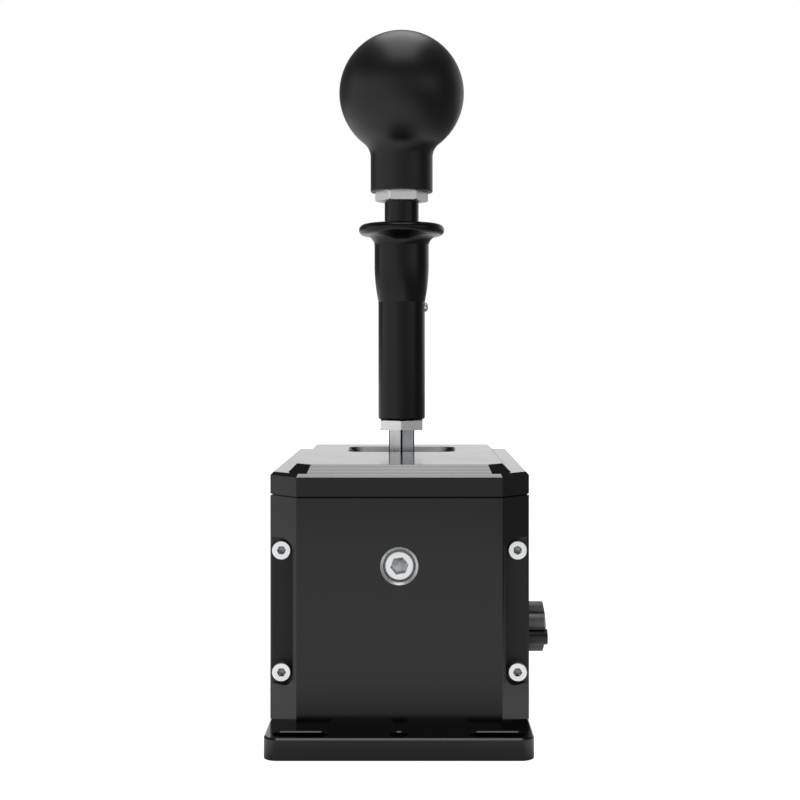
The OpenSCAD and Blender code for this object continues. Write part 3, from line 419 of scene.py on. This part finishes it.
print(sum(len(names) for names in finishes.values()), "of", len(nodes), "nodes have a finish")

# %% [markdown]
# ## The star knob
#
# A moulded grip with seven round lobes and a domed end; one lobe is black, stands out of the dome
# and shows the setting. The CAD solid has sharp edges, and a moulding never has: its edges are
# round by half a millimetre, and light runs along them. Here the grip is a round hub with seven
# lobes welded on, cut to a dome by a large ball; then the long lobe is welded on, and a bevel
# rounds all edges.

# %% Helpers for pieces
def pick(piece, test):
    """Go to edit mode with only those faces selected that pass a test on middle and normal."""
    bpy.ops.object.mode_set(mode="OBJECT")
    mesh = piece.data
    for part in (mesh.vertices, mesh.edges, mesh.polygons):
        part.foreach_set("select", [False] * len(part))
    for face in mesh.polygons:
        face.select = test(face.center, face.normal)
    bpy.ops.object.mode_set(mode="EDIT")
    bpy.ops.mesh.select_mode(type="FACE")


def weld(piece, other, operation):
    """Join, cut or keep what is common with another mesh, which is then gone."""
    change = piece.modifiers.new("weld", "BOOLEAN")
    change.operation, change.object, change.solver = operation, other, "EXACT"
    bpy.context.view_layer.objects.active = piece
    bpy.ops.object.modifier_apply(modifier=change.name)
    bpy.data.objects.remove(other, do_unlink=True)


def settle(piece):
    """Put the piece's place into its mesh, with the object at the origin."""
    bpy.ops.object.mode_set(mode="OBJECT")
    bpy.ops.object.select_all(action="DESELECT")
    piece.select_set(True)
    bpy.context.view_layer.objects.active = piece
    bpy.ops.object.transform_apply(location=True, rotation=True, scale=True)


print("helpers for pieces ready")

# %% The star knob
bpy.ops.object.select_all(action="DESELECT")
low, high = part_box("star_knob")
_, knob_y, knob_z = joints["knob_turn"]["pos_m"]
LOBES, LOBE_R, DOME_R, EDGE = 7, 0.0032, 0.038, 0.0006
FIRST_LOBE = 207    # degrees, the long one
POINTER_R = LOBE_R + 0.0001
lobe_angles = [math.radians(FIRST_LOBE + 360 / LOBES * k) for k in range(LOBES)]
ring = ((knob_z - low[2]) - LOBE_R) / -min(math.sin(a) for a in lobe_angles)
length = high[0] - low[0]
middle_x = (low[0] + high[0]) / 2
SIDEWAYS = (0, math.radians(90), 0)

FLUTE = 0.0002    # metres from the hub in to the ring of the lobes' axes
bpy.ops.mesh.primitive_cylinder_add(vertices=96, radius=ring - FLUTE, depth=length,
                                    rotation=SIDEWAYS, location=(middle_x, knob_y, knob_z))
star = bpy.context.object
star.name = "star_grip"
spots = [(middle_x, knob_y + ring * math.cos(a), knob_z + ring * math.sin(a))
         for a in lobe_angles]
for spot in spots:
    bpy.ops.mesh.primitive_cylinder_add(vertices=48, radius=LOBE_R, depth=length, rotation=SIDEWAYS,
                                        location=spot)
    weld(star, bpy.context.object, "UNION")
bpy.ops.mesh.primitive_uv_sphere_add(segments=128, ring_count=96, radius=DOME_R, rotation=SIDEWAYS,
                                     location=(high[0] - DOME_R, knob_y, knob_z))
weld(star, bpy.context.object, "INTERSECT")
bpy.ops.mesh.primitive_cylinder_add(vertices=48, radius=POINTER_R, depth=length, rotation=SIDEWAYS,
                                    location=spots[0])
weld(star, bpy.context.object, "UNION")
settle(star)
rounding = star.modifiers.new("edges", "BEVEL")
rounding.width, rounding.segments, rounding.angle_limit = EDGE, 3, math.radians(38)
bpy.ops.object.modifier_apply(modifier=rounding.name)
bpy.ops.object.shade_smooth_by_angle(angle=math.radians(35))
print(star.name, "has", len(star.data.polygons), "faces and reaches", round(ring + LOBE_R, 4), "m")

# %% Its black lobe
BLACK_REACH = 0.0001    # metres past the lobe over which the black fades
tree = nylon_finish.node_tree
around = add(tree, "Mapping", Vector=add(tree, "TexCoord").outputs["Object"], Scale=(0, 1, 1),
             Location=(0, -spots[0][1], -spots[0][2]))
far = add(tree, "VectorMath", {"operation": "LENGTH"}, i0=around.outputs[0])
long_lobe = add(tree, "MapRange", Value=far.outputs["Value"], From_Min=POINTER_R,
                From_Max=POINTER_R + BLACK_REACH, To_Min=1.0, To_Max=0.0)
darken(nylon_finish, long_lobe.outputs[0], "0c0c0d")
star.data.materials.clear()
star.data.materials.append(nylon_finish)
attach(star, "adjuster")
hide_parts("star_knob")
print(star.name, "turns with the adjuster")

# %% [markdown]
# ## The corner screws
#
# Eight socket head cap screws hold the plates. A real head has a knurled side for the fingers, a
# small turned edge and a six-sided key socket that ends in a drill point. One screw is made along
# Y: a cylinder whose side is creased by pulling in every second upright edge, its back face inset
# and drawn out to the shank, and the socket cut into the front. The others are copies.

# %% One corner screw
bpy.ops.object.select_all(action="DESELECT")
low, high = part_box("plate_screws")
HEAD_R, HEAD_H, SHANK_R, SHANK, KEY = 0.0035, 0.004, 0.002, 0.017, 0.003
RIDGES, TURNED = 30, 0.00025
screw_x = high[0] - HEAD_R
screw_zs = (low[2] + HEAD_R, high[2] - HEAD_R)

bpy.ops.mesh.primitive_cylinder_add(vertices=2 * RIDGES, radius=HEAD_R, depth=HEAD_H,
                                    rotation=(math.radians(90), 0, 0), location=(0, HEAD_H / 2, 0))
screw = bpy.context.object
screw.name = "corner_screw"
settle(screw)
pick(screw, lambda middle, normal: normal.y < -0.9)
bpy.ops.mesh.bevel(offset=TURNED, segments=2)
pick(screw, lambda middle, normal: normal.y > 0.9)
bpy.ops.mesh.inset(thickness=HEAD_R - SHANK_R)
bpy.ops.mesh.extrude_region_move(TRANSFORM_OT_translate={"value": (0, SHANK, 0)})
bpy.ops.object.mode_set(mode="OBJECT")
print(screw.name, "has", len(screw.data.polygons), "faces before its knurl and socket")

# %% Knurl and key socket
KNURL = 0.96          # radius of a groove, in parts of the head's
SOCKET_DEPTH = 0.55   # in parts of the head's height
POINT = 0.29          # height of the drill point, in parts of the key
half = math.pi / RIDGES
for corner in screw.data.vertices:
    around = round(math.atan2(corner.co.z, corner.co.x) / half)
    on_side = math.hypot(corner.co.x, corner.co.z) > HEAD_R * 0.99 and corner.co.y > TURNED * 1.5
    corner.select = on_side and around % 2 == 0
bpy.ops.object.mode_set(mode="EDIT")
bpy.ops.mesh.select_mode(type="VERT")
bpy.ops.transform.resize(value=(KNURL, 1, KNURL), center_override=(0, 0, 0))
bpy.ops.object.mode_set(mode="OBJECT")
key_corner = KEY / 2 / math.cos(math.radians(30))
point_y = HEAD_H * SOCKET_DEPTH + KEY * POINT / 2
bpy.ops.mesh.primitive_cone_add(vertices=24, radius1=KEY / 2 * 0.98, radius2=0, depth=KEY * POINT,
                                rotation=(math.radians(-90), 0, 0), location=(0, point_y, 0))
weld(screw, bpy.context.object, "DIFFERENCE")
bpy.ops.mesh.primitive_cylinder_add(vertices=6, radius=key_corner, depth=2 * HEAD_H * SOCKET_DEPTH,
                                    rotation=(math.radians(90), 0, 0))
weld(screw, bpy.context.object, "DIFFERENCE")
print("knurled head with", RIDGES, "ridges, key", KEY * 1000, "mm")

# %% [markdown]
# Shade is painted into the key sockets: their tone is darker than the heads'. The finish finds
# them by the distance from the nearest screw's axis: folding the coordinates at the middle of the
# eight screws lays all axes on one, so a single distance serves them all.

# %% Painted shade in the sockets
shaded_socket_steel = bright_metal("steel, turned, zinc plated, painted shade in sockets", "f6f7f8", "eaecee", 0.32,
                           EVEN)
tree = shaded_socket_steel.node_tree
middle_z, half_z = sum(screw_zs) / 2, (screw_zs[1] - screw_zs[0]) / 2
centred = add(tree, "Mapping", Vector=add(tree, "TexCoord").outputs["Object"],
              Location=(0, 0, -middle_z), Scale=(1, 0, 1))
folded = add(tree, "VectorMath", {"operation": "ABSOLUTE"}, i0=centred.outputs[0])
off_axis = add(tree, "VectorMath", {"operation": "SUBTRACT"}, i0=folded.outputs[0],
               i1=(screw_x, 0, half_z))
far = add(tree, "VectorMath", {"operation": "LENGTH"}, i0=off_axis.outputs[0])
# painted shade: the tone is darker within the key's half width of an axis
painted_shade = add(tree, "MapRange", Value=far.outputs["Value"], From_Min=KEY / 2, From_Max=KEY / 2 * 1.05,
          To_Min=1.0, To_Max=0.0)
darken(shaded_socket_steel, painted_shade.outputs[0], "8c8d8e")
print(shaded_socket_steel.name, "- dark inside", KEY * 500, "mm from an axis")

# %% Eight copies
FRONT_TURN, BACK_TURN = 30, 18    # degrees at which the key sockets stopped
OTHER_TURNS = {(1, 1): 4}         # side and row of a front screw that stopped elsewhere
copies = []
for side in (-1, 1):
    for row in (0, 1):
        for back in (0, 1):
            copy = screw.copy()
            copy.data = screw.data.copy()
            bpy.context.collection.objects.link(copy)
            stop = BACK_TURN if back else OTHER_TURNS.get((side, row), FRONT_TURN)
            copy.rotation_euler = (0, math.radians(stop), math.radians(180 * back))
            copy.location = (side * screw_x, high[1] if back else low[1], screw_zs[row])
            copies.append(copy)
bpy.data.objects.remove(screw, do_unlink=True)
bpy.ops.object.select_all(action="DESELECT")
for copy in copies:
    copy.select_set(True)
corner_screws = copies[0]
bpy.context.view_layer.objects.active = corner_screws
bpy.ops.object.join()
corner_screws.name = "corner_screws"
settle(corner_screws)
bpy.ops.object.shade_smooth_by_angle(angle=math.radians(20))
corner_screws.data.materials.clear()
corner_screws.data.materials.append(shaded_socket_steel)
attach(corner_screws, "housing")
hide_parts("plate_screws")
print(corner_screws.name, "has", len(corner_screws.data.polygons), "faces")

# %% [markdown]
# ## Copies of the springs
#
# A spring has one end on each of two bodies. The collar's spring is pressed by one joint; its copy
# goes with the lever. The centring springs are pressed and drawn out between the housing and a
# moving body. Copies of the CAD springs take their place. The right pair has moving pieces at both
# ends, the yoke and the preload plate: it is parted in the middle, and the cut ends are closed.

# %% The collar's spring
MERGE = 0.000001    # metres; the copied mesh is loose triangles


def edit_all(piece):
    """Go to edit mode with this piece alone, all of it selected."""
    bpy.ops.object.select_all(action="DESELECT")
    piece.select_set(True)
    bpy.context.view_layer.objects.active = piece
    bpy.ops.object.mode_set(mode="EDIT")
    bpy.ops.mesh.select_all(action="SELECT")


def spring_copy(name):
    """A copy of a CAD spring, because the CAD object itself stays as it is."""
    piece = bpy.data.objects.new(name + "_wire", nodes[name].data.copy())
    bpy.context.collection.objects.link(piece)
    piece.data.materials.clear()
    piece.data.materials.append(wire_steel)
    edit_all(piece)
    bpy.ops.mesh.remove_doubles(threshold=MERGE)
    bpy.ops.object.mode_set(mode="OBJECT")
    return piece


lift_wire = spring_copy("lift_spring")
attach(lift_wire, "lever")
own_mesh(lift_wire)
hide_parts("lift_spring")

# %% The centring springs
def give_way(piece, name, body):
    """Put a piece in place of a CAD spring, with its place baked into its mesh."""
    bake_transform(piece)
    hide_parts(name)
    print(piece.name, "bends from the housing to the", body)


low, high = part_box("left_springs")
give_way(spring_copy("left_springs"), "left_springs", "yoke")
low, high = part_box("right_springs")
middle_x = (low[0] + high[0]) / 2
inner = spring_copy("right_springs")
pick(inner, lambda middle, normal: middle.x > middle_x)
bpy.ops.mesh.separate(type="SELECTED")
bpy.ops.object.mode_set(mode="OBJECT")
outer = [piece for piece in bpy.context.selected_objects if piece != inner][0]
outer.name = "right_springs_outer_wire"
for half in (inner, outer):
    edit_all(half)
    bpy.ops.mesh.fill_holes(sides=0)
    bpy.ops.object.mode_set(mode="OBJECT")
give_way(inner, "right_springs", "yoke")
give_way(outer, "right_springs", "preload")

# %% [markdown]
# ## Floor and surroundings
#
# The photograph is a cut-out on white. A pale paper floor and a world that is white to the camera
# give that. What the polished skin shows is the studio round it, so rays that were mirrored see
# another picture: white paper behind and on the left, a dimmer room on the camera's side, dark
# cards on the right and behind on the left, and a dark ceiling. The floor fades with it: the paper
# leaves the light towards the camera and to the right, and the object's own shade lies before the
# base. No wall in that picture is brighter than white; the near paper glows a little on top of its
# own light. The world's direction runs round the object as an angle, so a colour ramp over that
# angle paints the studio.

# %% Floor
bpy.ops.object.select_all(action="DESELECT")
bpy.ops.mesh.primitive_plane_add(size=12, location=(0, 0, -0.0002))
floor = bpy.context.object
floor.name = "floor"
finish, tree, out, place = new_finish("paper sweep, white")
rays = add(tree, "LightPath")
mirrored = add(tree, "Math", {"operation": "MAXIMUM"}, i0=rays.outputs["Is Glossy Ray"],
               i1=rays.outputs["Is Transmission Ray"])
spot = add(tree, "SeparateXYZ", Vector=place)
WHITE = linear("ffffff")
print("floor:", finish.name)

# %% Shade on the floor, for mirrored rays
SHADE = 0.7    # part of the light that the object's own shade takes
width = add(tree, "Math", {"operation": "ABSOLUTE"}, i0=spot.outputs["X"])
before = add(tree, "MapRange", Value=spot.outputs["Y"], From_Min=-0.17, From_Max=-0.09)
beside = add(tree, "MapRange", Value=width.outputs[0], From_Min=0.05, From_Max=0.07,
             To_Min=1.0, To_Max=0.0)
shade = add(tree, "Math", {"operation": "MULTIPLY"}, i0=before.outputs[0], i1=beside.outputs[0])
clear = add(tree, "Math", {"operation": "MULTIPLY_ADD"}, i0=shade.outputs[0], i1=-SHADE, i2=1.0)
front = add(tree, "MapRange", Value=spot.outputs["Y"], From_Min=-1.8, From_Max=-0.5)
right = add(tree, "MapRange", Value=spot.outputs["X"], From_Min=0.1, From_Max=0.28,
            To_Min=1.0, To_Max=0.0)
near = add(tree, "Math", {"operation": "MULTIPLY"}, i0=front.outputs[0], i1=right.outputs[0])
pool = add(tree, "Math", {"operation": "MULTIPLY"}, i0=near.outputs[0], i1=clear.outputs[0])
side = add(tree, "MapRange", Value=spot.outputs["X"], From_Min=-0.8, From_Max=0.4,
           To_Min=1.0, To_Max=0.2)
faded = add(tree, "Math", {"operation": "MULTIPLY"}, i0=side.outputs[0], i1=clear.outputs[0])
print("the shade before the base takes", SHADE, "of the light")

# %% What each kind of ray sees of the floor
paper = add(tree, "BsdfDiffuse", Color=linear("f2f2f2"))
glow = add(tree, "Emission", Color=WHITE, Strength=0.4)
far_floor = add(tree, "Emission", Color=WHITE, Strength=faded.outputs[0])
lit = add(tree, "AddShader", i0=paper.outputs[0], i1=glow.outputs[0])
white = add(tree, "AddShader", i0=lit.outputs[0], i1=glow.outputs[0])
straight = add(tree, "MixShader", Fac=rays.outputs["Is Camera Ray"], i1=paper.outputs[0],
               i2=white.outputs[0])
by_mirror = add(tree, "MixShader", Fac=pool.outputs[0], i1=far_floor.outputs[0],
                i2=lit.outputs[0])
mixed = add(tree, "MixShader", Fac=mirrored.outputs[0], i1=straight.outputs[0],
            i2=by_mirror.outputs[0])
tree.links.new(mixed.outputs[0], out.inputs["Surface"])
floor.data.materials.append(finish)
print(floor.name, "is part of the stage")

# %% World
# brightness at each part of a full turn: 0 is left, 0.25 the camera's side, 0.5 right, 0.75 behind
STUDIO = {0.0: 1.0, 0.16: 1.0, 0.22: 0.55, 0.29: 0.5, 0.41: 0.9, 0.47: 0.12, 0.56: 0.12,
          0.64: 0.8, 0.7: 1.0, 0.78: 1.0, 0.82: 0.15, 0.93: 0.15, 0.97: 1.0}
CEILING, SOFT_LIGHT = 0.13, 0.45
world = bpy.data.worlds.new("studio")
bpy.context.scene.world = world
world.use_nodes = True
tree = world.node_tree
tree.nodes.clear()
direction = add(tree, "TexCoord").outputs["Generated"]
angle = add(tree, "TexGradient", {"gradient_type": "RADIAL"}, Vector=direction)
walls = add(tree, "ValToRGB", Fac=angle.outputs["Fac"])
stops = walls.color_ramp.elements    # a new ramp has a stop at each end, and both are left
for turn, bright in STUDIO.items():
    ends = (stops[0], stops[len(stops) - 1]) if turn == 0.0 else (stops.new(turn),)
    for stop in ends:
        stop.color = (bright, bright, bright, 1)
print("world:", len(stops), "stops round the object")

# %% What each kind of ray sees of the world
rays = add(tree, "LightPath")
mirrored = add(tree, "Math", {"operation": "MAXIMUM"}, i0=rays.outputs["Is Glossy Ray"],
               i1=rays.outputs["Is Transmission Ray"])
height = add(tree, "SeparateXYZ", Vector=direction)
low_part = add(tree, "MapRange", Value=height.outputs["Z"], From_Min=0.3, From_Max=0.5,
               To_Min=1.0, To_Max=0.0)
studio = add(tree, "MixRGB", Fac=low_part.outputs[0], Color1=[CEILING] * 3 + [1],
             Color2=walls.outputs[0])
shown = add(tree, "MixRGB", Fac=mirrored.outputs[0], Color1=[SOFT_LIGHT] * 3 + [1],
            Color2=studio.outputs[0])
seen = add(tree, "MixRGB", Fac=rays.outputs["Is Camera Ray"], Color1=shown.outputs[0],
           Color2=WHITE)
sky = add(tree, "Background", Color=seen.outputs[0], Strength=1.0)
add(tree, "OutputWorld", Surface=sky.outputs[0])
print("mirrored rays see the studio, the camera sees white")

# %% [markdown]
# ## One lamp
#
# One large weak soft box hangs above the object, a little behind it. It makes the wide soft
# highlight on top of the ball and lights the lid's bright-cut faces, which lean so that they
# mirror what is straight above them.

# %% The lamp
def soft_box(name, place, target, width, height, watts):
    lamp = bpy.data.lights.new(name, "AREA")
    lamp.shape = "RECTANGLE"
    lamp.size, lamp.size_y, lamp.energy = width, height, watts
    holder = bpy.data.objects.new(name, lamp)
    holder.location = place
    holder.rotation_euler = (Vector(target) - Vector(place)).to_track_quat("-Z", "Y").to_euler()
    bpy.context.collection.objects.link(holder)
    return holder


top_box = soft_box("top box", place=(0.0, 0.15, 1.0), target=(0, 0.15, 0.1), width=0.55, height=1.3,
                   watts=5.3)
print("lamp:", top_box.name, round(top_box.data.energy, 1), "W")
